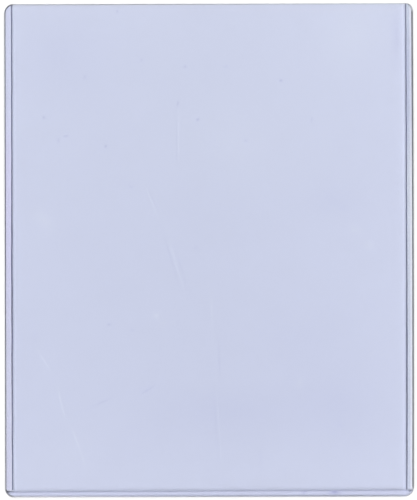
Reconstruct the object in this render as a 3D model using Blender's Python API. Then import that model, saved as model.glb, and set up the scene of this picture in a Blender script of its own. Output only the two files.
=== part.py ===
"""Rigid clear toploader for one 8 x 10 inch photo print.

Two clear PVC sheets are welded over three narrow spacer strips, along the left, right and bottom edges.
The top edge stays open, so that a print slides in between the sheets. The sleeve lies on its back sheet:
X runs to the right, Y towards the open mouth and Z out of the front sheet. The origin is under the middle
of the back sheet.
"""

import math

import bmesh
import bpy

MM = 0.001

# Driving dimensions
SLEEVE_WIDTH = 215.9 * MM
SLEEVE_HEIGHT = 260.35 * MM
SHEET_THICKNESS = 0.4 * MM
SPACER_THICKNESS = 0.8 * MM
SIDE_SPACER_WIDTH = 4.0 * MM
BOTTOM_SPACER_WIDTH = 3.2 * MM

# Corners of the outline, as cut
TOP_LEFT_RADIUS = 4.9 * MM
TOP_RIGHT_RADIUS = 3.8 * MM
BOTTOM_LEFT_RADIUS = 4.4 * MM
BOTTOM_RIGHT_RADIUS = 5.3 * MM

# Rounding of a spacer's long edge where it faces the pocket, limited by the spacer's thickness
NOSE_RADIUS = 0.3 * MM
NOSE_LIMIT = 0.45

# Clearance between two faces that are welded together
WELD_GAP = 0.05 * MM

# Fineness of the round stretches
CORNER_SEGMENTS = 12
NOSE_SEGMENTS = 4

# Colour and finish of the clear PVC
SHEET_COLOUR = (0.80, 0.83, 0.93)
SPACER_COLOUR = (0.82, 0.85, 0.96)
PVC_ROUGHNESS = 0.08
PVC_METALLIC = 0.0
PVC_IOR = 1.53
PVC_TRANSMISSION = 0.9

# Places worked out from the sizes above
RIGHT_EDGE = SLEEVE_WIDTH / 2
TOP_EDGE = SLEEVE_HEIGHT / 2
POCKET_SIDE = RIGHT_EDGE - SIDE_SPACER_WIDTH
POCKET_FLOOR = BOTTOM_SPACER_WIDTH - TOP_EDGE
SPACER_LEVEL = SHEET_THICKNESS + WELD_GAP
FRONT_LEVEL = SPACER_LEVEL + SPACER_THICKNESS + WELD_GAP

# Directions of the planes that part the spacers from the pocket
TO_LEFT = (-1, 0, 0)
TO_RIGHT = (1, 0, 0)
TO_MOUTH = (0, 1, 0)
TO_FLOOR = (0, -1, 0)


def clear_scene():
    for obj in list(bpy.data.objects):
        bpy.data.objects.remove(obj)


def clear_pvc(name, colour):
    material = bpy.data.materials.new(name)
    material.use_nodes = True
    shader = material.node_tree.nodes["Principled BSDF"]
    shader.inputs["Base Color"].default_value = (*colour, 1.0)
    shader.inputs["Roughness"].default_value = PVC_ROUGHNESS
    shader.inputs["Metallic"].default_value = PVC_METALLIC
    shader.inputs["IOR"].default_value = PVC_IOR
    shader.inputs["Transmission Weight"].default_value = PVC_TRANSMISSION
    return material


def corner_arc(side_x, side_y, radius):
    """Points of one rounded corner, anticlockwise."""
    centre_x = side_x * (RIGHT_EDGE - radius)
    centre_y = side_y * (TOP_EDGE - radius)
    middle = math.atan2(side_y, side_x)
    points = []
    for step in range(CORNER_SEGMENTS + 1):
        angle = middle + math.radians(90 * step / CORNER_SEGMENTS - 45)
        points.append((centre_x + radius * math.cos(angle), centre_y + radius * math.sin(angle), 0.0))
    return points


def sleeve_outline():
    """Outline that the sheets and the spacers share, anticlockwise from the lower right corner."""
    return (
        corner_arc(1, -1, BOTTOM_RIGHT_RADIUS)
        + corner_arc(1, 1, TOP_RIGHT_RADIUS)
        + corner_arc(-1, 1, TOP_LEFT_RADIUS)
        + corner_arc(-1, -1, BOTTOM_LEFT_RADIUS)
    )


def trim(bm, point, outward):
    """Cuts away what lies beyond the plane through the point."""
    everything = bm.verts[:] + bm.edges[:] + bm.faces[:]
    bmesh.ops.bisect_plane(bm, geom=everything, plane_co=point, plane_no=outward, clear_outer=True)


def thicken(bm, thickness):
    grown = bmesh.ops.extrude_face_region(bm, geom=bm.faces[:])["geom"]
    raised = [item for item in grown if isinstance(item, bmesh.types.BMVert)]
    bmesh.ops.translate(bm, verts=raised, vec=(0, 0, thickness))
    bmesh.ops.recalc_face_normals(bm, faces=bm.faces[:])


def round_nose(bm, outward, radius):
    """Rounds the two long edges of the wall that faces the pocket."""
    bm.normal_update()
    walls = [face for face in bm.faces if all(abs(a - b) < 1e-3 for a, b in zip(face.normal, outward))]
    wall = max(walls, key=lambda face: face.calc_area())
    level = [edge for edge in wall.edges if abs(edge.verts[0].co.z - edge.verts[1].co.z) < radius / 2]
    bmesh.ops.bevel(
        bm, geom=level, offset=radius, segments=NOSE_SEGMENTS, profile=0.5, affect="EDGES", clamp_overlap=True
    )


def add_piece(name, bm, level, colour, base):
    mesh = bpy.data.meshes.new(name)
    bm.to_mesh(mesh)
    bm.free()
    mesh.shade_smooth()
    mesh.set_sharp_from_angle(angle=math.radians(30))
    mesh.materials.append(clear_pvc(name + "_pvc", colour))
    piece = bpy.data.objects.new(name, mesh)
    piece.location.z = level
    piece.parent = base
    bpy.context.collection.objects.link(piece)


def add_sheet(name, level, base):
    bm = bmesh.new()
    bm.faces.new([bm.verts.new(point) for point in sleeve_outline()])
    thicken(bm, SHEET_THICKNESS)
    add_piece(name, bm, level, SHEET_COLOUR, base)


def add_spacer(name, cuts, base):
    """A strip of the outline, trimmed by the planes in cuts. The first of them faces the pocket."""
    bm = bmesh.new()
    bm.faces.new([bm.verts.new(point) for point in sleeve_outline()])
    for point, outward in cuts:
        trim(bm, point, outward)
    thicken(bm, SPACER_THICKNESS)
    pocket_side = cuts[0][1]
    round_nose(bm, pocket_side, min(NOSE_RADIUS, NOSE_LIMIT * SPACER_THICKNESS))
    add_piece(name, bm, SPACER_LEVEL, SPACER_COLOUR, base)


def build():
    clear_scene()
    base = bpy.data.objects.new("toploader", None)
    bpy.context.collection.objects.link(base)

    add_sheet("back_sheet", 0.0, base)
    add_sheet("front_sheet", FRONT_LEVEL, base)

    # The bottom spacer runs the full width, and the side spacers stand on it
    foot = ((0, POCKET_FLOOR + WELD_GAP, 0), TO_FLOOR)
    add_spacer("left_spacer", [((-POCKET_SIDE, 0, 0), TO_RIGHT), foot], base)
    add_spacer("right_spacer", [((POCKET_SIDE, 0, 0), TO_LEFT), foot], base)
    add_spacer("bottom_spacer", [((0, POCKET_FLOOR, 0), TO_MOUTH)], base)


build()
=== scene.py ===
"""Looks of a rigid clear photo toploader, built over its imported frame.

The sleeve lies on its back on a white floor and is seen from straight above. X runs to the right of the
picture, Y towards the open mouth at its top, and Z up out of the front sheet.
"""

import math

import bmesh
import bpy
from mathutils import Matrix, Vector, noise


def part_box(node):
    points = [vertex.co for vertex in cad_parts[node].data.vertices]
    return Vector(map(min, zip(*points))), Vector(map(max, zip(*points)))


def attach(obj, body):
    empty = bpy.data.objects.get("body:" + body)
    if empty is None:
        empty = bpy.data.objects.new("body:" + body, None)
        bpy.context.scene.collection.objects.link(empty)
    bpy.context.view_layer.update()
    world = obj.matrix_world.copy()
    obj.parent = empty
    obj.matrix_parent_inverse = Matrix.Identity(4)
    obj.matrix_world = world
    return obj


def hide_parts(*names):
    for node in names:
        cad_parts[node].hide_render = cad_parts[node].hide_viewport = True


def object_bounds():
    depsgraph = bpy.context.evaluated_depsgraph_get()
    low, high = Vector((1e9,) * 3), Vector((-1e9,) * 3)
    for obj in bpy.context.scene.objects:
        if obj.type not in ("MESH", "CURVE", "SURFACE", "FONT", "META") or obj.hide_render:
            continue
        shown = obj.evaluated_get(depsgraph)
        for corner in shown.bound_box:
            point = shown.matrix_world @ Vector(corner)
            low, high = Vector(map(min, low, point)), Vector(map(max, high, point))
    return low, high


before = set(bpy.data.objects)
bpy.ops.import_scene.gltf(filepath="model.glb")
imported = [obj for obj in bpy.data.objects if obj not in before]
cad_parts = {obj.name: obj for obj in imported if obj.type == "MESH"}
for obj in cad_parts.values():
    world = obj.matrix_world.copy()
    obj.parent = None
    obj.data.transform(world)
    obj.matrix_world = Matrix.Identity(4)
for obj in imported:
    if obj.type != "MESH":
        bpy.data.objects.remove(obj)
cad_low, cad_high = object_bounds()

MM = 0.001

# Corners of the outline, as cut
TOP_LEFT_RADIUS = 4.9 * MM
TOP_RIGHT_RADIUS = 3.8 * MM
BOTTOM_LEFT_RADIUS = 4.4 * MM
BOTTOM_RIGHT_RADIUS = 5.3 * MM
CORNER_STEPS = 16

# The right side is cut on a slight bow, which leans in towards both ends
RIGHT_BOW = 0.24 * MM
BOW_STEPS = 24

# Outer rim of a cut edge: how far in and how far down it has rolled over, and the share of the way in that
# the middle of the lower right corner lacks
LEFT_ROLL = 0.38 * MM
RIGHT_ROLL = 0.7 * MM
MOUTH_LEFT_ROLL = 0.4 * MM
MOUTH_RIGHT_ROLL = 0.15 * MM
FOOT_ROLL = 0.6 * MM
ROLL_DROP = 0.25 * MM
ROLL_STEPS = 4
CRISP_CORNER = 0.8

# Inner rim of a cut edge, which is barely broken: its height, and its width as a share of the roll
EDGE_BREAK = 0.04 * MM
BREAK_SHARE = 0.1

# Noses of the spacers, melted along the pocket, with limits as shares of the spacer's thickness and width
NOSE_RADIUS = 0.32 * MM
NOSE_STEPS = 4
NOSE_HEIGHT_LIMIT = 0.45
NOSE_WIDTH_LIMIT = 0.5

# Waviness of the noses: its depth, its length along the spacer, and where each spacer lies in the noise
NOSE_WOBBLE = 0.1 * MM
WOBBLE_LENGTH = 9.0 * MM
WOBBLE_SIDE = 7.0
WOBBLE_FOOT = 3.0
WOBBLE_LEVEL = 0.5

# Dark line beside each nose, painted shade along the weld, limited to a share of the spacer's width.
# On a side rail it is wider around one place in the lower half of the sleeve
SEAM_BAND = 0.25 * MM
SEAM_LIMIT = 0.4
WIDE_BAND = 0.17 * MM
WIDE_LEFT_Y = -28.0 * MM
WIDE_RIGHT_Y = -62.0 * MM
WIDE_REACH = 54.0 * MM
FOOT_SEAM_BAND = 0.25 * MM

# Distance between the sections of a spacer, the fewest steps in a stretch of it, and what the bottom
# spacer's ends keep clear of its box
STATION_STEP = 1.5 * MM
CORNER_STATION_STEP = STATION_STEP / 5
FEWEST_STEPS = 2
FOOT_END = 0.1 * MM

# Ends of the bottom spacer's seam, where its band of painted shade widens, and the left rail's short foot
SHADE_END_LEFT = 1.1 * MM
SHADE_END_RIGHT = 2.1 * MM
SHADE_END_REACH = 0.55 * MM
SHADE_END_WIDTH = 0.7 * MM
LEFT_FOOT_GAP = 0.8 * MM
LEFT_FOOT_MELT = 0.4 * MM
MELT_END = 0.5 * MM

# The pocket's floor, which lies a little above its place in the frame and rises to the right, and the
# clearance between it and the right rail's foot
SEAM_RISE = 0.11 * MM
SEAM_SLOPE = 0.003
WELD_GAP = 0.05 * MM

# Material slots of a sheet, whose faces keep slot 0
EDGE_SLOT = 1
MARGIN_SLOT = 2
SHEET_WALL_SLOT = 3

# Material slots of a spacer
WELD_SLOT = 0
SEAM_SLOT = 1
SPACER_WALL_SLOT = 2
NOSE_SLOT = 3

# Shading of the meshes: a face this level is shaded flat, and a wider angle between two faces stays sharp
LEVEL_NORMAL = 0.9999
SHARP_ANGLE = math.radians(35)

# Camera, from the photograph's frame
PHOTO_WIDTH_PX = 417
PHOTO_HEIGHT_PX = 500
PX_PER_MM = 1.8956
SLEEVE_CENTRE_PX = (209.3, 250.31)
SLEEVE_TURN = math.radians(0.127)
LENS = 70.0
SENSOR = 36.0

# Stage: a paper floor, and a dome whose levels go from the horizon to straight above
FLOOR_GAP = 0.05 * MM
FLOOR_SIZE = 30.0
FLOOR_ALBEDO = (0.86, 0.86, 0.86)
FLOOR_LIFT = 0.01
FLOOR_GRAIN = 60.0
FLOOR_ROUGHNESS = 0.9
LIGHT_STRENGTH = 1.95
LIGHT_BOUNCES = 24
DOME_LEVELS = (
    (0.0, 0.52), (0.06, 0.40), (0.35, 0.33), (0.55, 0.68),
    (0.68, 0.98), (0.85, 0.95), (0.95, 0.45), (1.0, 0.36),
)

# Clear PVC. Melted faces have no air between them to bend the light
PVC_IOR = 1.53
MELTED_IOR = 1.0
SHEET_TONE = (0.867, 0.882, 0.935)
WHITE = (1.0, 1.0, 1.0)

# What the blue takes of a change of tone
BLUE_SHARE = 0.5

# Detail of a noise, and the same scale along every axis
PLAIN_NOISE = 1.0
BROKEN_NOISE = 2.0
FINE_NOISE = 3.0
UNSTRETCHED = (1.0, 1.0, 1.0)

# Scales of the noises, and the stretch of the streaks along a rail
WAVE_SCALE = 14.0
FRONT_CLOUDS = 25.0
BACK_CLOUDS = 31.0
SMEAR_SCALE = 40.0
SCRATCH_SCALE = 120.0
NOSE_GRAIN = 300.0
GRAIN_SCALE = 400.0
WELD_GRAIN = 900.0
STREAK_GRAIN = 1400.0
SIDE_STREAKS = (1.0, 0.015, 1.0)
FOOT_STREAKS = (0.02, 1.0, 1.0)

# Height of the shallow waves in the sheets
FRONT_WAVES = 0.12 * MM
BACK_WAVES = 0.08 * MM

# Darkest tone of the clouds in the sheets
CLOUD_TONE = (0.996, 0.996, 0.996)

# Smears on the sheets: the levels of noise where they start and are full, and the roughness they give
SMEAR_START = 0.52
SMEAR_FULL = 0.8
SMEAR_ROUGHNESS = 0.08

# Lift of the sheets' tone, painted light beside the rails' dark lines: millimetres from the pocket's left
# side, its right side or the sleeve's right edge, then the lift
LEFT_LIFTS = (
    (-1.4, 1.0), (-1.1, 1.03), (-0.7, 1.03), (-0.5, 1.0), (0.0, 1.0),
    (0.05, 1.04), (1.2, 1.04), (1.8, 1.006), (3.0, 1.001),
)
MIDDLE_LIFT = 0.998
RIGHT_LIFTS = ((-5.0, 1.005), (-2.0, 1.014), (-1.5, 1.03), (-0.9, 1.065), (-0.05, 1.065), (0.0, 1.0))
EDGE_LIFTS = ((-1.7, 1.0), (-1.3, 1.1), (-0.8, 1.1))

# Drop of the sheets' tone up the sleeve: share of its height, then the drop
MOUTH_FADE = ((0.0, 0.006), (0.12, 0.010), (0.3, 0.008), (0.5, 0.006), (0.8, 0.003), (1.0, 0.0))

# Where the rolled edge's painted shade ends and its painted light is full, in from the sleeve's left
# and right edges
LEFT_DARK = 3.2 * MM
LEFT_LIGHT = 5.5 * MM
RIGHT_DARK = 0.8 * MM
RIGHT_LIGHT = 1.5 * MM

# The same up the sleeve: on the left, half shaded at the foot, and on the right, painted light at both ends
FOOT_DARKNESS = 0.6
FOOT_HALF_DARK = 1.8 * MM
FOOT_DARK = 2.6 * MM
LOW_LIGHT = 3.0 * MM
LOW_DARK = 4.5 * MM
HIGH_DARK = 4.2 * MM
HIGH_LIGHT = 3.0 * MM

# Where the foot's painted light is last plain and first pale again, in from the right edge
FOOT_PLAIN = 4.5 * MM
FOOT_PALE = 3.2 * MM

# Where the front sheet's edge turns from painted light to painted shade, in from the foot and the mouth,
# and how far its painted light is lifted to white
LOW_LIT = 2.5 * MM
LOW_SHADED = 4.5 * MM
HIGH_SHADED = 4.0 * MM
HIGH_LIT = 2.0 * MM
PAINTED_LIGHT_LIFT = 0.4

# Where the bottom seam's painted shade is darkest, in from the left and right edges, and how dark
SHADE_END_LEFT_DARK = 1.5 * MM
SHADE_END_LEFT_END = 2.2 * MM
SHADE_END_RIGHT_END = 3.2 * MM
SHADE_END_RIGHT_DARK = 2.5 * MM
MELTED_FOOT_SHADE = 0.3
SHADE_END_RIGHT_DARKNESS = 0.5

# Faint marks, in millimetres: middle across and up, half length, half width, then turn from the X axis in
# degrees and change of tone. The first three kinds are on the front sheet, and the last on the bottom rail
SCRATCHES = (
    (-16.0, 61.0, 16.0, 0.4, 90.0, 0.05),
    (-17.2, 61.0, 16.0, 0.4, 90.0, -0.04),
    (-30.5, 26.0, 15.0, 0.4, -68.0, 0.04),
    (-28.0, 23.5, 12.0, 0.4, -65.0, -0.05),
    (-25.5, 18.0, 15.0, 0.4, -68.0, 0.038),
    (-20.5, -4.0, 22.0, 0.4, -74.0, -0.045),
    (-17.0, -9.0, 23.5, 0.4, -74.0, 0.038),
    (-14.0, -12.0, 18.0, 0.4, -74.0, -0.045),
    (1.5, -37.0, 25.0, 0.4, -87.0, 0.05),
    (5.0, -55.0, 13.0, 0.45, -88.0, -0.06),
    (5.0, -93.0, 28.0, 0.4, -86.0, 0.05),
    (3.4, -96.0, 24.0, 0.4, -86.0, -0.045),
    (27.0, -109.5, 9.5, 0.4, 90.0, -0.05),
    (-92.5, -46.0, 4.5, 0.5, 90.0, -0.08),
    (-87.0, -58.5, 10.0, 0.4, -57.5, 0.085),
    (-78.5, -79.5, 12.0, 0.4, -77.0, 0.085),
    (-69.0, -104.0, 17.0, 0.4, -70.5, 0.065),
    (-59.0, -81.0, 12.0, 0.5, 23.0, -0.065),
    (-32.5, -73.5, 5.0, 0.6, 30.0, -0.075),
    (71.5, -96.0, 3.5, 0.5, -55.0, 0.08),
    (69.5, -93.0, 3.5, 0.5, -55.0, -0.08),
)
SMUDGES = (
    (-87.5, 16.0, 14.0, 7.0, -40.0, 0.035),
    (11.0, -85.0, 75.0, 24.0, 0.0, -0.022),
    (66.0, 26.5, 28.0, 15.0, 0.0, -0.018),
    (75.0, 113.0, 36.0, 26.0, 70.0, 0.022),
    (99.0, 113.0, 28.0, 4.5, 90.0, -0.045),
    (-78.0, 106.0, 60.0, 45.0, 0.0, -0.022),
    (68.0, -82.0, 50.0, 38.0, 0.0, -0.022),
    (-75.0, -105.0, 40.0, 22.0, 20.0, 0.012),
    (12.0, 58.0, 80.0, 50.0, 0.0, 0.014),
    (52.0, -48.0, 62.0, 44.0, 0.0, -0.013),
)
SPECKS = (
    (-16.5, 77.5, 2.2, 1.0, 80.0, -0.18),
    (-6.0, 69.0, 1.6, 1.3, 20.0, -0.22),
    (38.0, 89.5, 1.6, 1.3, 0.0, -0.24),
    (-54.5, 55.0, 1.9, 1.1, 65.0, -0.2),
    (-75.5, 60.5, 2.5, 1.0, 10.0, -0.16),
    (-79.5, 58.0, 2.2, 0.9, 85.0, -0.16),
    (-12.5, 97.0, 1.5, 1.3, 0.0, -0.17),
    (-65.5, 91.5, 1.8, 1.2, 90.0, -0.16),
    (9.0, 97.0, 2.3, 1.1, 0.0, -0.15),
    (-53.0, -39.0, 2.2, 0.9, 0.0, -0.18),
    (-40.8, -42.0, 1.9, 1.0, 0.0, -0.16),
    (-41.5, 33.5, 1.9, 1.3, 0.0, -0.14),
    (-87.2, 70.3, 1.4, 1.3, 0.0, -0.16),
    (-35.5, 100.4, 1.4, 1.2, 0.0, -0.16),
    (-48.2, 126.2, 1.5, 1.1, 90.0, -0.18),
    (19.4, 57.7, 1.7, 1.2, 0.0, -0.18),
    (54.2, 68.7, 2.6, 1.1, 80.0, -0.12),
    (70.5, 22.5, 2.8, 1.2, -30.0, -0.1),
    (-7.0, 1.5, 2.0, 1.5, 0.0, -0.1),
    (-28.0, -34.5, 3.2, 2.6, 0.0, 0.08),
    (-24.5, -38.5, 2.6, 2.2, 0.0, 0.06),
    (47.5, -70.0, 3.2, 1.8, 60.0, 0.09),
    (76.9, 10.7, 4.5, 3.2, 0.0, 0.05),
    (84.8, 2.8, 5.0, 3.4, 0.0, 0.045),
)
FOOT_SMUDGES = (
    (50.0, -127.6, 3.0, 2.0, 35.0, -0.14),
    (66.0, -127.8, 5.0, 2.4, 0.0, -0.22),
)

# Power by which a mark fades from its middle to its rim, and roughness that it gives for its change of tone
SCRATCH_FALL = 0.5
SOFT_FALL = 2.0
MARK_ROUGHNESS = 0.5

# The scratches come and go: two levels of noise, and the strengths there
SCRATCH_LOW = 0.4
SCRATCH_HIGH = 0.6
SCRATCH_FAINT = 0.5
SCRATCH_STRONG = 1.2

# Places read from the frame
LEFT, BOTTOM, UNDER = cad_low
RIGHT, TOP, FACE = cad_high
POCKET_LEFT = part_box("left_spacer")[1].x
POCKET_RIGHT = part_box("right_spacer")[0].x
POCKET_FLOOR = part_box("bottom_spacer")[1].y
LEFT_MIDDLE = (POCKET_LEFT + LEFT) / 2
RIGHT_MIDDLE = (POCKET_RIGHT + RIGHT) / 2


# Shapes

def spread_evenly(start, end, count):
    return [start + (end - start) * index / count for index in range(count + 1)]


def spread(start, end, step):
    return spread_evenly(start, end, max(FEWEST_STEPS, round(abs(end - start) / step)))


def corner_arc(share, side_x, side_y, radius, side_roll, end_roll, crispness=0.0):
    """Points of one rounded corner, anticlockwise, drawn in by a share of the roll of its two edges."""
    centre_x = (RIGHT if side_x > 0 else LEFT) - side_x * radius
    centre_y = (TOP if side_y > 0 else BOTTOM) - side_y * radius
    middle = math.atan2(side_y, side_x)
    points = []
    for step in range(CORNER_STEPS + 1):
        angle = middle + math.radians(90 * step / CORNER_STEPS - 45)
        drawn = share * (1 - crispness * math.sin(math.pi * step / CORNER_STEPS))
        x = centre_x + (radius - drawn * side_roll) * math.cos(angle)
        y = centre_y + (radius - drawn * end_roll) * math.sin(angle)
        points.append((x, y))
    return points


def outline(share):
    """Outline drawn in by a share of the rolled margin, anticlockwise from the lower right corner."""
    right_side = spread_evenly(BOTTOM + BOTTOM_RIGHT_RADIUS, TOP - TOP_RIGHT_RADIUS, BOW_STEPS)
    return (
        corner_arc(share, 1, -1, BOTTOM_RIGHT_RADIUS, RIGHT_ROLL, FOOT_ROLL, CRISP_CORNER)
        + [(RIGHT - share * RIGHT_ROLL, y) for y in right_side[1:-1]]
        + corner_arc(share, 1, 1, TOP_RIGHT_RADIUS, RIGHT_ROLL, MOUTH_RIGHT_ROLL)
        + corner_arc(share, -1, 1, TOP_LEFT_RADIUS, LEFT_ROLL, MOUTH_LEFT_ROLL)
        + corner_arc(share, -1, -1, BOTTOM_LEFT_RADIUS, LEFT_ROLL, FOOT_ROLL)
    )


def bowed(x, y):
    """Place across the sleeve after the bow of its right side."""
    return x - RIGHT_BOW * (y / TOP) ** 2 * max(x, 0.0) / RIGHT


def add_loop(bm, share, height):
    return [bm.verts.new((bowed(x, y), y, height)) for x, y in outline(share)]


def join_loops(bm, lower, upper, slot):
    for index, low in enumerate(lower):
        after = (index + 1) % len(lower)
        face = bm.faces.new((low, lower[after], upper[after], upper[index]))
        face.material_index = slot


def edge_profile(low, high, roll_up):
    """Shares of the roll and heights of a cut edge, from below: one side rolled, the other barely broken."""
    turns = [math.radians(90 * step / ROLL_STEPS) for step in range(ROLL_STEPS + 1)]
    soft = [(1 - math.cos(turn), ROLL_DROP * (1 - math.sin(turn))) for turn in turns]
    crisp = [(0.0, EDGE_BREAK), (BREAK_SHARE, 0.0)]
    lower, upper = (crisp, soft) if roll_up else (soft, crisp)
    rising = [(share, low + rise) for share, rise in reversed(lower)]
    return rising + [(share, high - drop) for share, drop in upper]


def pocket_floor(x):
    return POCKET_FLOOR + SEAM_RISE + SEAM_SLOPE * x


def in_pocket(point):
    return POCKET_LEFT < point.x < POCKET_RIGHT and point.y > pocket_floor(point.x)


def part_inner_face(bm, face):
    """Cuts a sheet's inner face along the spacers, and marks the welded margins."""
    cuts = (
        ((POCKET_LEFT, 0, 0), (1, 0, 0)),
        ((POCKET_RIGHT, 0, 0), (1, 0, 0)),
        ((0, pocket_floor(0), 0), (-SEAM_SLOPE, 1, 0)),
    )
    inner = [face]
    for point, normal in cuts:
        rims = {edge for part in inner for edge in part.edges}
        corners = {vert for part in inner for vert in part.verts}
        geometry = list(corners) + list(rims) + inner
        found = bmesh.ops.bisect_plane(bm, geom=geometry, plane_co=point, plane_no=normal)["geom"]
        inner = [item for item in found if isinstance(item, bmesh.types.BMFace)]
    for part in inner:
        if not in_pocket(part.calc_center_median()):
            part.material_index = MARGIN_SLOT


def make_sheet(name, node, roll_up):
    """A sheet whose outer rim is rolled over: its upper rim with roll_up, and otherwise its lower one."""
    low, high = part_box(node)
    bm = bmesh.new()
    loops = [add_loop(bm, share, height) for share, height in edge_profile(low.z, high.z, roll_up)]
    rolled = range(len(loops) - ROLL_STEPS - 1, len(loops)) if roll_up else range(ROLL_STEPS)
    for index in range(len(loops) - 1):
        slot = EDGE_SLOT if index in rolled else SHEET_WALL_SLOT
        join_loops(bm, loops[index], loops[index + 1], slot)
    under = bm.faces.new(list(reversed(loops[0])))
    over = bm.faces.new(loops[-1])
    part_inner_face(bm, under if roll_up else over)
    return finish_piece(name, bm)


def drawn_in(radius, into):
    """How far a rounded corner leaves the straight edge, this far into the corner."""
    if into <= 0:
        return 0.0
    return radius - math.sqrt(max(radius * radius - into * into, 0.0))


def edge_x(y, side):
    """Outer edge of the sleeve at this height, on the left (-1) or the right (1)."""
    upper = TOP_LEFT_RADIUS if side < 0 else TOP_RIGHT_RADIUS
    lower = BOTTOM_LEFT_RADIUS if side < 0 else BOTTOM_RIGHT_RADIUS
    if y > 0:
        inward = drawn_in(upper, y - (TOP - upper))
    else:
        inward = drawn_in(lower, (BOTTOM + lower) - y)
    return LEFT + inward if side < 0 else RIGHT - inward


def edge_y(x):
    """Lower edge of the sleeve at this place across it."""
    if x < 0:
        return BOTTOM + drawn_in(BOTTOM_LEFT_RADIUS, (LEFT + BOTTOM_LEFT_RADIUS) - x)
    return BOTTOM + drawn_in(BOTTOM_RIGHT_RADIUS, x - (RIGHT - BOTTOM_RIGHT_RADIUS))


def nose_wobble(across, along):
    """How far a melted nose strays, at a place in the noise."""
    return NOSE_WOBBLE * noise.noise(Vector((across, along, WOBBLE_LEVEL)))


def spacer_section(outer, inner, low, high, seam_band):
    """Section of a spacer: places across and heights, each with the slot of the face after it."""
    toward = 1 if inner > outer else -1
    width = abs(inner - outer)
    radius = min(NOSE_RADIUS, NOSE_HEIGHT_LIMIT * (high - low), NOSE_WIDTH_LIMIT * width)
    band = min(seam_band, SEAM_LIMIT * width)
    turns = [math.radians(90 * step / NOSE_STEPS) for step in range(NOSE_STEPS + 1)]
    points = [(outer, low, WELD_SLOT), (inner - toward * (radius + band), low, SEAM_SLOT)]
    for turn in turns:
        slot = SEAM_SLOT if turn < turns[-1] else NOSE_SLOT
        across = inner - toward * radius * (1 - math.sin(turn))
        points.append((across, low + radius * (1 - math.cos(turn)), slot))
    for turn in turns:
        slot = NOSE_SLOT if turn < turns[-1] else WELD_SLOT
        across = inner - toward * radius * (1 - math.cos(turn))
        points.append((across, high - radius * (1 - math.sin(turn)), slot))
    points.append((outer, high, SPACER_WALL_SLOT))
    return points


def loft(name, sections, slots):
    """Closed strip through sections of equal length, with flat ends."""
    bm = bmesh.new()
    rings = [[bm.verts.new(point) for point in section] for section in sections]
    for near, far in zip(rings, rings[1:]):
        for index, slot in enumerate(slots):
            after = (index + 1) % len(slots)
            face = bm.faces.new((near[index], near[after], far[after], far[index]))
            face.material_index = slot
    bm.faces.new(rings[0])
    bm.faces.new(rings[-1])
    return finish_piece(name, bm)


def side_band(y, side):
    """Width of a side rail's dark seam of painted shade, which is widest in the lower half of the sleeve."""
    from_widest = (y - (WIDE_LEFT_Y if side < 0 else WIDE_RIGHT_Y)) / WIDE_REACH
    return SEAM_BAND + WIDE_BAND * math.exp(-from_widest * from_widest)


def make_side_spacer(name, node, side):
    """A rail whose own X runs from the middle of its width, as its material expects."""
    low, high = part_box(node)
    inner = POCKET_LEFT if side < 0 else POCKET_RIGHT
    middle = LEFT_MIDDLE if side < 0 else RIGHT_MIDDLE
    foot = pocket_floor(middle) + (LEFT_FOOT_GAP if side < 0 else WELD_GAP)
    corner = TOP - (TOP_LEFT_RADIUS if side < 0 else TOP_RIGHT_RADIUS)
    heights = spread(foot, corner, STATION_STEP) + spread(corner, high.y, CORNER_STATION_STEP)[1:]
    sections = []
    for y in heights:
        nose = inner - side * nose_wobble(side * WOBBLE_SIDE, y / WOBBLE_LENGTH)
        section = spacer_section(edge_x(y, side), nose, low.z, high.z, side_band(y, side))
        sections.append([(bowed(x, y) - middle, y, z) for x, z, slot in section])
    rail = loft(name, sections, [slot for x, z, slot in section])
    rail.location.x = middle
    return rail


def shade_end_widening(x):
    """Extra width of the bottom seam's band of painted shade, near its two ends."""
    from_left = (x - (LEFT + SHADE_END_LEFT)) / SHADE_END_REACH
    from_right = (x - (RIGHT - SHADE_END_RIGHT)) / SHADE_END_REACH
    return SHADE_END_WIDTH * (math.exp(-from_left * from_left) + math.exp(-from_right * from_right))


def melted_up(x):
    """Rise of the bottom seam under the left rail's short foot."""
    return LEFT_FOOT_MELT * min(max((POCKET_LEFT - x) / MELT_END, 0.0), 1.0)


def make_bottom_spacer(name, node):
    low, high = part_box(node)
    left = spread(low.x + FOOT_END, LEFT + BOTTOM_LEFT_RADIUS, CORNER_STATION_STEP)
    middle = spread(LEFT + BOTTOM_LEFT_RADIUS, RIGHT - BOTTOM_RIGHT_RADIUS, STATION_STEP)
    right = spread(RIGHT - BOTTOM_RIGHT_RADIUS, high.x - FOOT_END, CORNER_STATION_STEP)
    sections = []
    for x in left + middle[1:] + right[1:]:
        nose = pocket_floor(x) + nose_wobble(x / WOBBLE_LENGTH, WOBBLE_FOOT) + melted_up(x)
        band = FOOT_SEAM_BAND + shade_end_widening(x) + melted_up(x)
        section = spacer_section(edge_y(x), nose, low.z, high.z, band)
        sections.append([(bowed(x, y), y, z) for y, z, slot in section])
    return loft(name, sections, [slot for y, z, slot in section])


def finish_piece(name, bm):
    """An object with smooth round edges and truly flat level faces."""
    bmesh.ops.recalc_face_normals(bm, faces=bm.faces[:])
    mesh = bpy.data.meshes.new(name)
    bm.to_mesh(mesh)
    bm.free()
    mesh.shade_smooth()
    mesh.set_sharp_from_angle(angle=SHARP_ANGLE)
    for polygon in mesh.polygons:
        polygon.use_smooth = abs(polygon.normal.z) < LEVEL_NORMAL
    piece = bpy.data.objects.new(name, mesh)
    bpy.context.scene.collection.objects.link(piece)
    return piece


# Materials

def new_material(name):
    material = bpy.data.materials.new(name)
    material.use_nodes = True
    tree = material.node_tree
    return material, tree, tree.nodes["Principled BSDF"]


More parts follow.
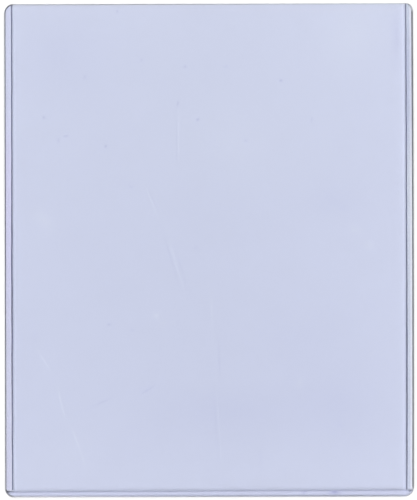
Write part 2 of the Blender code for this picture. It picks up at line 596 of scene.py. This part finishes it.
def add_node(tree, kind, inputs=None, **settings):
    """A node with its settings, whose inputs are values or other nodes' outputs."""
    made = tree.nodes.new(kind)
    for name, value in settings.items():
        setattr(made, name, value)
    for name, value in (inputs or {}).items():
        if isinstance(value, bpy.types.NodeSocket):
            tree.links.new(value, made.inputs[name])
        else:
            made.inputs[name].default_value = value
    return made


def object_place(tree):
    return add_node(tree, "ShaderNodeTexCoord").outputs["Object"]


def tone_between(tree, share, dark, light):
    """A mix of two tones, each of them a colour or another node's output."""
    tones = {}
    for name, tone in (("A", dark), ("B", light)):
        tones[name] = tone if isinstance(tone, bpy.types.NodeSocket) else (*tone, 1.0)
    return add_node(tree, "ShaderNodeMix", {"Factor": share, **tones}, data_type="RGBA").outputs["Result"]


def multiplied(tree, first, second):
    tones = {"Factor": 1.0, "A": first, "B": second}
    return add_node(tree, "ShaderNodeMix", tones, data_type="RGBA", blend_type="MULTIPLY").outputs["Result"]


def worked_out(tree, operation, *values):
    """Result of a maths node, from numbers or other nodes' outputs."""
    return add_node(tree, "ShaderNodeMath", dict(enumerate(values)), operation=operation).outputs["Value"]


def tone_ramp(tree, share, stops):
    """Colours along a share from 0 to 1, through (place, colour) stops."""
    made = add_node(tree, "ShaderNodeValToRGB", {"Fac": share})
    points = made.color_ramp.elements
    for point, (place, colour) in ((points[0], stops[0]), (points[1], stops[-1])):
        point.position = place
        point.color = (*colour, 1.0)
    for place, colour in stops[1:-1]:
        points.new(place).color = (*colour, 1.0)
    return made.outputs["Color"]


def share_between(tree, value, start, end, low=0.0, high=1.0):
    """A value's share of the way from start to end, or the level that far from low to high."""
    limits = {"Value": value, "From Min": start, "From Max": end, "To Min": low, "To Max": high}
    return add_node(tree, "ShaderNodeMapRange", limits).outputs["Result"]


def place_between(tree, axis, start, end):
    """Share of the way from start to end along one axis of the object."""
    along = add_node(tree, "ShaderNodeSeparateXYZ", {"Vector": object_place(tree)}).outputs[axis]
    return share_between(tree, along, start, end)


def straight_across(tree, start, end, middle=0.0):
    """Share of the way across before the right side was bowed, in an object whose origin is at middle."""
    place = add_node(tree, "ShaderNodeSeparateXYZ", {"Vector": object_place(tree)}).outputs
    from_middle = worked_out(tree, "MAXIMUM", worked_out(tree, "ADD", place["X"], middle), 0.0)
    lean = worked_out(tree, "MULTIPLY", worked_out(tree, "POWER", place["Y"], 2.0), from_middle)
    straight = worked_out(tree, "MULTIPLY_ADD", lean, RIGHT_BOW / (TOP * TOP * RIGHT), place["X"])
    return share_between(tree, straight, start, end)


def noise_at(tree, scale, detail, stretch=UNSTRETCHED):
    scaled = add_node(tree, "ShaderNodeMapping", {"Vector": object_place(tree), "Scale": stretch})
    made = add_node(tree, "ShaderNodeTexNoise", {"Vector": scaled.outputs["Vector"]})
    made.inputs["Scale"].default_value = scale
    made.inputs["Detail"].default_value = detail
    return made.outputs["Fac"]


def grain(tree, dark, light=WHITE):
    return tone_between(tree, noise_at(tree, GRAIN_SCALE, FINE_NOISE), dark, light)


def set_clear(shader, roughness, transmission, ior=PVC_IOR):
    shader.inputs["Roughness"].default_value = roughness
    shader.inputs["IOR"].default_value = ior
    shader.inputs["Transmission Weight"].default_value = transmission


def share_across(x):
    return (x - LEFT) / (RIGHT - LEFT)


def marks_on(tree, marks, fall, total=0.0):
    """Sum of oval marks, each with its tone in its middle, which falls to nothing at the oval's rim."""
    place = object_place(tree)
    for x, y, half_length, half_width, turn, tone in marks:
        oval_place = add_node(tree, "ShaderNodeMapping", {
            "Vector": place,
            "Location": (x * MM, y * MM, 0.0),
            "Rotation": (0.0, 0.0, math.radians(turn)),
            "Scale": (half_length * MM, half_width * MM, 1.0),
        }, vector_type="TEXTURE")
        oval = add_node(tree, "ShaderNodeTexGradient", {"Vector": oval_place.outputs["Vector"]})
        oval.gradient_type = "SPHERICAL"
        strength = worked_out(tree, "POWER", oval.outputs["Fac"], fall)
        total = worked_out(tree, "MULTIPLY_ADD", strength, tone, total)
    return total


def broken_scratches(tree):
    """The scratches, which come and go along their length."""
    level = noise_at(tree, SCRATCH_SCALE, BROKEN_NOISE)
    depth = share_between(tree, level, SCRATCH_LOW, SCRATCH_HIGH, SCRATCH_FAINT, SCRATCH_STRONG)
    return worked_out(tree, "MULTIPLY", marks_on(tree, SCRATCHES, SCRATCH_FALL), depth)


def marked(tree, tone, change):
    """A tone changed by marks, and less so in the blue."""
    plain = worked_out(tree, "ADD", change, 1.0)
    blue = worked_out(tree, "MULTIPLY_ADD", change, BLUE_SHARE, 1.0)
    factor = add_node(tree, "ShaderNodeCombineColor", {"Red": plain, "Green": plain, "Blue": blue})
    return multiplied(tree, tone, factor.outputs["Color"])


def painted_light_by_rails(tree):
    """Tone across the sheet: painted light, a little paler along and in the rails."""
    lifts = [(POCKET_LEFT + offset * MM, lift) for offset, lift in LEFT_LIFTS]
    lifts.append((0.0, MIDDLE_LIFT))
    lifts += [(POCKET_RIGHT + offset * MM, lift) for offset, lift in RIGHT_LIFTS]
    lifts += [(RIGHT + offset * MM, lift) for offset, lift in EDGE_LIFTS]
    stops = []
    for x, lift in lifts:
        stops.append((share_across(x), tuple(min(value * lift, 1.0) for value in SHEET_TONE)))
    return tone_ramp(tree, straight_across(tree, LEFT, RIGHT), stops)


def pale_by_mouth(tree):
    """Tone up the sheet: a little paler towards the mouth, and less so in the blue."""
    stops = [(share, (1 - drop, 1 - drop, 1 - BLUE_SHARE * drop)) for share, drop in MOUTH_FADE]
    return tone_ramp(tree, place_between(tree, "Y", BOTTOM, TOP), stops)


def wavy(tree, shader, height):
    """Long shallow waves in the sheet, which show in its reflections."""
    waves = noise_at(tree, WAVE_SCALE, PLAIN_NOISE)
    bump = add_node(tree, "ShaderNodeBump", {"Height": waves, "Strength": 1.0, "Distance": height})
    tree.links.new(bump.outputs["Normal"], shader.inputs["Normal"])


def clear_pvc(name, scratched, clouds_scale, wave_height):
    """Clear glossy sheet, with faint clouds, marks and painted light in its tone, and smears where it is a
    little rough.
    """
    material, tree, shader = new_material(name)
    clouds = tone_between(tree, noise_at(tree, clouds_scale, BROKEN_NOISE), CLOUD_TONE, WHITE)
    tone = multiplied(tree, multiplied(tree, clouds, painted_light_by_rails(tree)), pale_by_mouth(tree))
    smears = noise_at(tree, SMEAR_SCALE, FINE_NOISE)
    roughness = share_between(tree, smears, SMEAR_START, SMEAR_FULL, high=SMEAR_ROUGHNESS)
    if scratched:
        change = marks_on(tree, SMUDGES + SPECKS, SOFT_FALL, broken_scratches(tree))
        tone = marked(tree, tone, change)
        strength = worked_out(tree, "ABSOLUTE", change)
        roughness = worked_out(tree, "MULTIPLY_ADD", strength, MARK_ROUGHNESS, roughness)
    tree.links.new(tone, shader.inputs["Base Color"])
    tree.links.new(roughness, shader.inputs["Roughness"])
    wavy(tree, shader, wave_height)
    shader.inputs["IOR"].default_value = PVC_IOR
    shader.inputs["Transmission Weight"].default_value = 1.0
    return material


def melted_nose():
    material, tree, shader = new_material("melted_nose")
    dark = (0.85, 0.87, 0.94)
    light = (0.95, 0.96, 1.0)
    colour = tone_between(tree, noise_at(tree, NOSE_GRAIN, BROKEN_NOISE), dark, light)
    tree.links.new(colour, shader.inputs["Base Color"])
    set_clear(shader, roughness=0.1, transmission=1.0)
    return material


def weld(name, stretch, dark, light, smudges=()):
    """Faces melted together, with a grain that can be drawn out into streaks, and smudges."""
    material, tree, shader = new_material(name)
    colour = tone_between(tree, noise_at(tree, WELD_GRAIN, PLAIN_NOISE, stretch), dark, light)
    if smudges:
        colour = marked(tree, colour, marks_on(tree, smudges, SOFT_FALL))
    tree.links.new(colour, shader.inputs["Base Color"])
    set_clear(shader, roughness=0.0, transmission=1.0, ior=MELTED_IOR)
    return material


def plain_weld():
    dark = (0.98, 0.98, 0.99)
    return weld("plain_weld", UNSTRETCHED, dark, WHITE)


def bottom_weld():
    dark = (0.832, 0.842, 0.907)
    light = (0.862, 0.872, 0.937)
    return weld("bottom_weld", FOOT_STREAKS, dark, light, FOOT_SMUDGES)


def side_weld(name, middle, stops, hues):
    """The weld of a side rail: painted light in tones across it, hues from the foot up, and fine streaks
    along it.
    """
    material, tree, shader = new_material(name)
    streak_noise = noise_at(tree, STREAK_GRAIN, PLAIN_NOISE, SIDE_STREAKS)
    dark = (0.95, 0.95, 0.965)
    streaks = tone_between(tree, streak_noise, dark, WHITE)
    half = (RIGHT - POCKET_RIGHT) / 2
    across = tone_ramp(tree, straight_across(tree, -half, half, middle), stops)
    upward = tone_ramp(tree, place_between(tree, "Y", BOTTOM, TOP), hues)
    tree.links.new(multiplied(tree, multiplied(tree, streaks, upward), across), shader.inputs["Base Color"])
    set_clear(shader, roughness=0.0, transmission=1.0, ior=MELTED_IOR)
    return material


def left_weld():
    # Tones across the rail: painted light, paler towards the lines at its sides than in its core
    edge = (0.925, 0.917, 0.967)
    core = (0.892, 0.885, 0.957)
    bright = (0.955, 0.95, 0.995)
    stops = ((0.0, edge), (0.3, edge), (0.5, core), (0.8, bright), (1.0, bright))
    plain = (0.991, 0.994, 0.985)
    lavender = (0.995, 0.986, 1.0)
    bluish = (0.984, 0.999, 0.995)
    hues = ((0.0, plain), (0.3, plain), (0.5, lavender), (0.68, lavender), (0.8, bluish), (1.0, bluish))
    return side_weld("left_weld", LEFT_MIDDLE, stops, hues)


def right_weld():
    # Tones across the rail: painted light, paler towards the lines at its sides than in its core
    edge = (0.925, 0.945, 0.965)
    core = (0.866, 0.89, 0.914)
    stops = ((0.0, edge), (0.25, edge), (0.45, core), (0.66, WHITE), (1.0, WHITE))
    bluish = (0.985, 0.982, 1.0)
    plain = (0.987, 0.985, 0.995)
    warm = (0.992, 0.988, 0.985)
    dim = (0.915, 0.915, 0.955)
    pale = (0.965, 0.965, 0.975)
    hues = ((0.0, bluish), (0.35, plain), (0.65, warm), (0.78, dim), (0.9, dim), (1.0, pale))
    return side_weld("right_weld", RIGHT_MIDDLE, stops, hues)


def mask_ramp(tree, axis, start, end, levels):
    """A grey level along one axis of the object, through (place, level) stops in metres."""
    stops = [((place - start) / (end - start), (level, level, level)) for place, level in levels]
    return tone_ramp(tree, place_between(tree, axis, start, end), stops)


def edge_painted_shade(tree):
    """1 along the stretches of painted shade on the cut edge, which are both sides and the upper left
    corner.
    """
    on_left = mask_ramp(tree, "X", LEFT, RIGHT, (
        (LEFT, 1), (LEFT + LEFT_DARK, 1), (LEFT + LEFT_LIGHT, 0), (RIGHT, 0),
    ))
    above = mask_ramp(tree, "Y", BOTTOM, TOP, (
        (BOTTOM, FOOT_DARKNESS), (BOTTOM + FOOT_HALF_DARK, FOOT_DARKNESS), (BOTTOM + FOOT_DARK, 1), (TOP, 1),
    ))
    on_right = mask_ramp(tree, "X", LEFT, RIGHT, (
        (LEFT, 0), (RIGHT - RIGHT_LIGHT, 0), (RIGHT - RIGHT_DARK, 1), (RIGHT, 1),
    ))
    between = mask_ramp(tree, "Y", BOTTOM, TOP, (
        (BOTTOM, 0), (BOTTOM + LOW_LIGHT, 0), (BOTTOM + LOW_DARK, 1),
        (TOP - HIGH_DARK, 1), (TOP - HIGH_LIGHT, 0), (TOP, 0),
    ))
    return worked_out(tree, "MAXIMUM", multiplied(tree, on_left, above), multiplied(tree, on_right, between))


def edge_painted_light(tree):
    """Painted light on the edge: palest at both ends of the foot, and plain at the right of the mouth."""
    across = place_between(tree, "X", LEFT, RIGHT)
    plain = (0.79, 0.81, 0.85)
    pale = (0.91, 0.92, 0.96)
    last_plain = share_across(RIGHT - FOOT_PLAIN)
    first_pale = share_across(RIGHT - FOOT_PALE)
    foot = tone_ramp(tree, across, (
        (0.0, WHITE), (0.12, WHITE), (0.3, pale), (0.45, plain), (last_plain, plain), (first_pale, WHITE),
        (1.0, WHITE),
    ))
    mouth = tone_ramp(tree, across, ((0.0, pale), (0.15, WHITE), (0.55, WHITE), (1.0, plain)))
    return tone_between(tree, place_between(tree, "Y", BOTTOM, TOP), foot, mouth)


def painted_rolled_edge():
    """The back sheet's rolled edge, with painted shade and painted light in stretches."""
    material, tree, shader = new_material("painted_rolled_edge")
    dark = (0.07, 0.08, 0.10)
    tone = tone_between(tree, edge_painted_shade(tree), edge_painted_light(tree), dark)
    tree.links.new(multiplied(tree, tone, grain(tree, (0.9, 0.9, 0.9))), shader.inputs["Base Color"])
    set_clear(shader, roughness=0.4, transmission=0.5)
    return material


def front_edge():
    """Front sheet's frosted rolled edge: painted shade along the sides, painted light at the foot and mouth.
    """
    material, tree, shader = new_material("front_edge")
    along_sides = mask_ramp(tree, "Y", BOTTOM, TOP, (
        (BOTTOM, 0), (BOTTOM + LOW_LIT, 0), (BOTTOM + LOW_SHADED, 1),
        (TOP - HIGH_SHADED, 1), (TOP - HIGH_LIT, 0), (TOP, 0),
    ))
    lifted = tone_between(tree, PAINTED_LIGHT_LIFT, edge_painted_light(tree), WHITE)
    # Painted shade: the darker tone that the edge takes along the sides
    frost = (0.89, 0.905, 0.95)
    tone = tone_between(tree, along_sides, lifted, frost)
    tree.links.new(multiplied(tree, tone, grain(tree, (0.93, 0.93, 0.94))), shader.inputs["Base Color"])
    set_clear(shader, roughness=0.25, transmission=0.9)
    return material


def foot_seam_painted_shade():
    """The bottom seam, painted shade: pale and soft, and darker near its two ends."""
    material, tree, shader = new_material("foot_seam_painted_shade")
    darkness = mask_ramp(tree, "X", LEFT, RIGHT, (
        (LEFT, 1), (LEFT + SHADE_END_LEFT_DARK, 1),
        (LEFT + SHADE_END_LEFT_END, MELTED_FOOT_SHADE), (POCKET_LEFT, MELTED_FOOT_SHADE),
        (POCKET_LEFT + MELT_END, 0), (RIGHT - SHADE_END_RIGHT_END, 0),
        (RIGHT - SHADE_END_RIGHT_DARK, SHADE_END_RIGHT_DARKNESS), (RIGHT, SHADE_END_RIGHT_DARKNESS),
    ))
    pale = (0.60, 0.625, 0.76)
    dark = (0.10, 0.11, 0.14)
    tone = tone_between(tree, darkness, pale, dark)
    tree.links.new(multiplied(tree, tone, grain(tree, (0.8, 0.8, 0.82))), shader.inputs["Base Color"])
    set_clear(shader, roughness=0.35, transmission=0.5)
    return material


def frosted(name, dark, light, roughness, transmission):
    """A rough cut or melted face, which scatters the light."""
    material, tree, shader = new_material(name)
    tree.links.new(grain(tree, dark, light), shader.inputs["Base Color"])
    set_clear(shader, roughness, transmission)
    return material


def cut_wall():
    dark = (0.80, 0.82, 0.88)
    light = (0.92, 0.93, 0.97)
    return frosted("cut_wall", dark, light, roughness=0.25, transmission=0.9)


# Dark faces beside the noses: painted shade along each seam
def seam_painted_shade():
    dark = (0.045, 0.055, 0.13)
    light = (0.08, 0.09, 0.19)
    return frosted("seam_painted_shade", dark, light, roughness=0.35, transmission=0.5)


def floor_paper():
    material, tree, shader = new_material("floor_paper")
    lighter = tuple(value + FLOOR_LIFT for value in FLOOR_ALBEDO)
    tone = tone_between(tree, noise_at(tree, FLOOR_GRAIN, BROKEN_NOISE), FLOOR_ALBEDO, lighter)
    tree.links.new(tone, shader.inputs["Base Color"])
    shader.inputs["Roughness"].default_value = FLOOR_ROUGHNESS
    shader.inputs["Specular IOR Level"].default_value = 0.0
    return material


# Stage

def add_floor():
    bm = bmesh.new()
    bmesh.ops.create_grid(bm, x_segments=1, y_segments=1, size=FLOOR_SIZE / 2)
    floor = finish_piece("floor", bm)
    floor.location.z = UNDER - FLOOR_GAP
    floor.data.materials.append(floor_paper())


def add_light():
    """A soft studio dome: brightest in a high ring, and darker low down and straight above the sleeve."""
    world = bpy.data.worlds.new("studio")
    bpy.context.scene.world = world
    world.use_nodes = True
    tree = world.node_tree
    background = tree.nodes["Background"]
    direction = add_node(tree, "ShaderNodeTexCoord").outputs["Generated"]
    up = add_node(tree, "ShaderNodeSeparateXYZ", {"Vector": direction}).outputs["Z"]
    stops = [(place, (level, level, level)) for place, level in DOME_LEVELS]
    tree.links.new(tone_ramp(tree, up, stops), background.inputs["Color"])
    background.inputs["Strength"].default_value = LIGHT_STRENGTH


def add_camera():
    """A camera straight above, placed so that the sleeve lies in the frame as in the photograph."""
    data = bpy.data.cameras.new("camera")
    camera = bpy.data.objects.new("camera", data)
    bpy.context.scene.collection.objects.link(camera)
    data.sensor_width = SENSOR
    data.lens = LENS
    frame_height = PHOTO_HEIGHT_PX / PX_PER_MM * MM
    px = MM / PX_PER_MM
    shift_x = (PHOTO_WIDTH_PX / 2 - SLEEVE_CENTRE_PX[0]) * px
    shift_y = (SLEEVE_CENTRE_PX[1] - PHOTO_HEIGHT_PX / 2) * px
    camera.location = (shift_x, shift_y, FACE + frame_height * LENS / SENSOR)
    camera.rotation_euler = (0.0, 0.0, -SLEEVE_TURN)
    bpy.context.scene.camera = camera


def set_render_look():
    scene = bpy.context.scene
    scene.view_settings.view_transform = "Standard"
    scene.cycles.max_bounces = LIGHT_BOUNCES
    scene.cycles.transmission_bounces = LIGHT_BOUNCES
    scene.cycles.blur_glossy = 0.0
    scene.cycles.use_denoising = True


def dress(piece, node, materials):
    for material in materials:
        piece.data.materials.append(material)
    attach(piece, "root")
    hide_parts(node)


def build():
    front_pvc = clear_pvc("front_pvc", True, FRONT_CLOUDS, FRONT_WAVES)
    back_pvc = clear_pvc("back_pvc", False, BACK_CLOUDS, BACK_WAVES)
    margin = plain_weld()
    nose = melted_nose()
    wall = cut_wall()
    seam = seam_painted_shade()

    back = make_sheet("back_panel", "back_sheet", roll_up=False)
    dress(back, "back_sheet", (back_pvc, painted_rolled_edge(), margin, wall))
    front = make_sheet("front_panel", "front_sheet", roll_up=True)
    dress(front, "front_sheet", (front_pvc, front_edge(), margin, wall))

    left = make_side_spacer("left_rail", "left_spacer", -1)
    dress(left, "left_spacer", (left_weld(), seam, wall, nose))
    right = make_side_spacer("right_rail", "right_spacer", 1)
    dress(right, "right_spacer", (right_weld(), seam, wall, nose))
    bottom = make_bottom_spacer("bottom_rail", "bottom_spacer")
    dress(bottom, "bottom_spacer", (bottom_weld(), foot_seam_painted_shade(), wall, nose))

    add_floor()
    add_light()
    add_camera()
    set_render_look()


build()
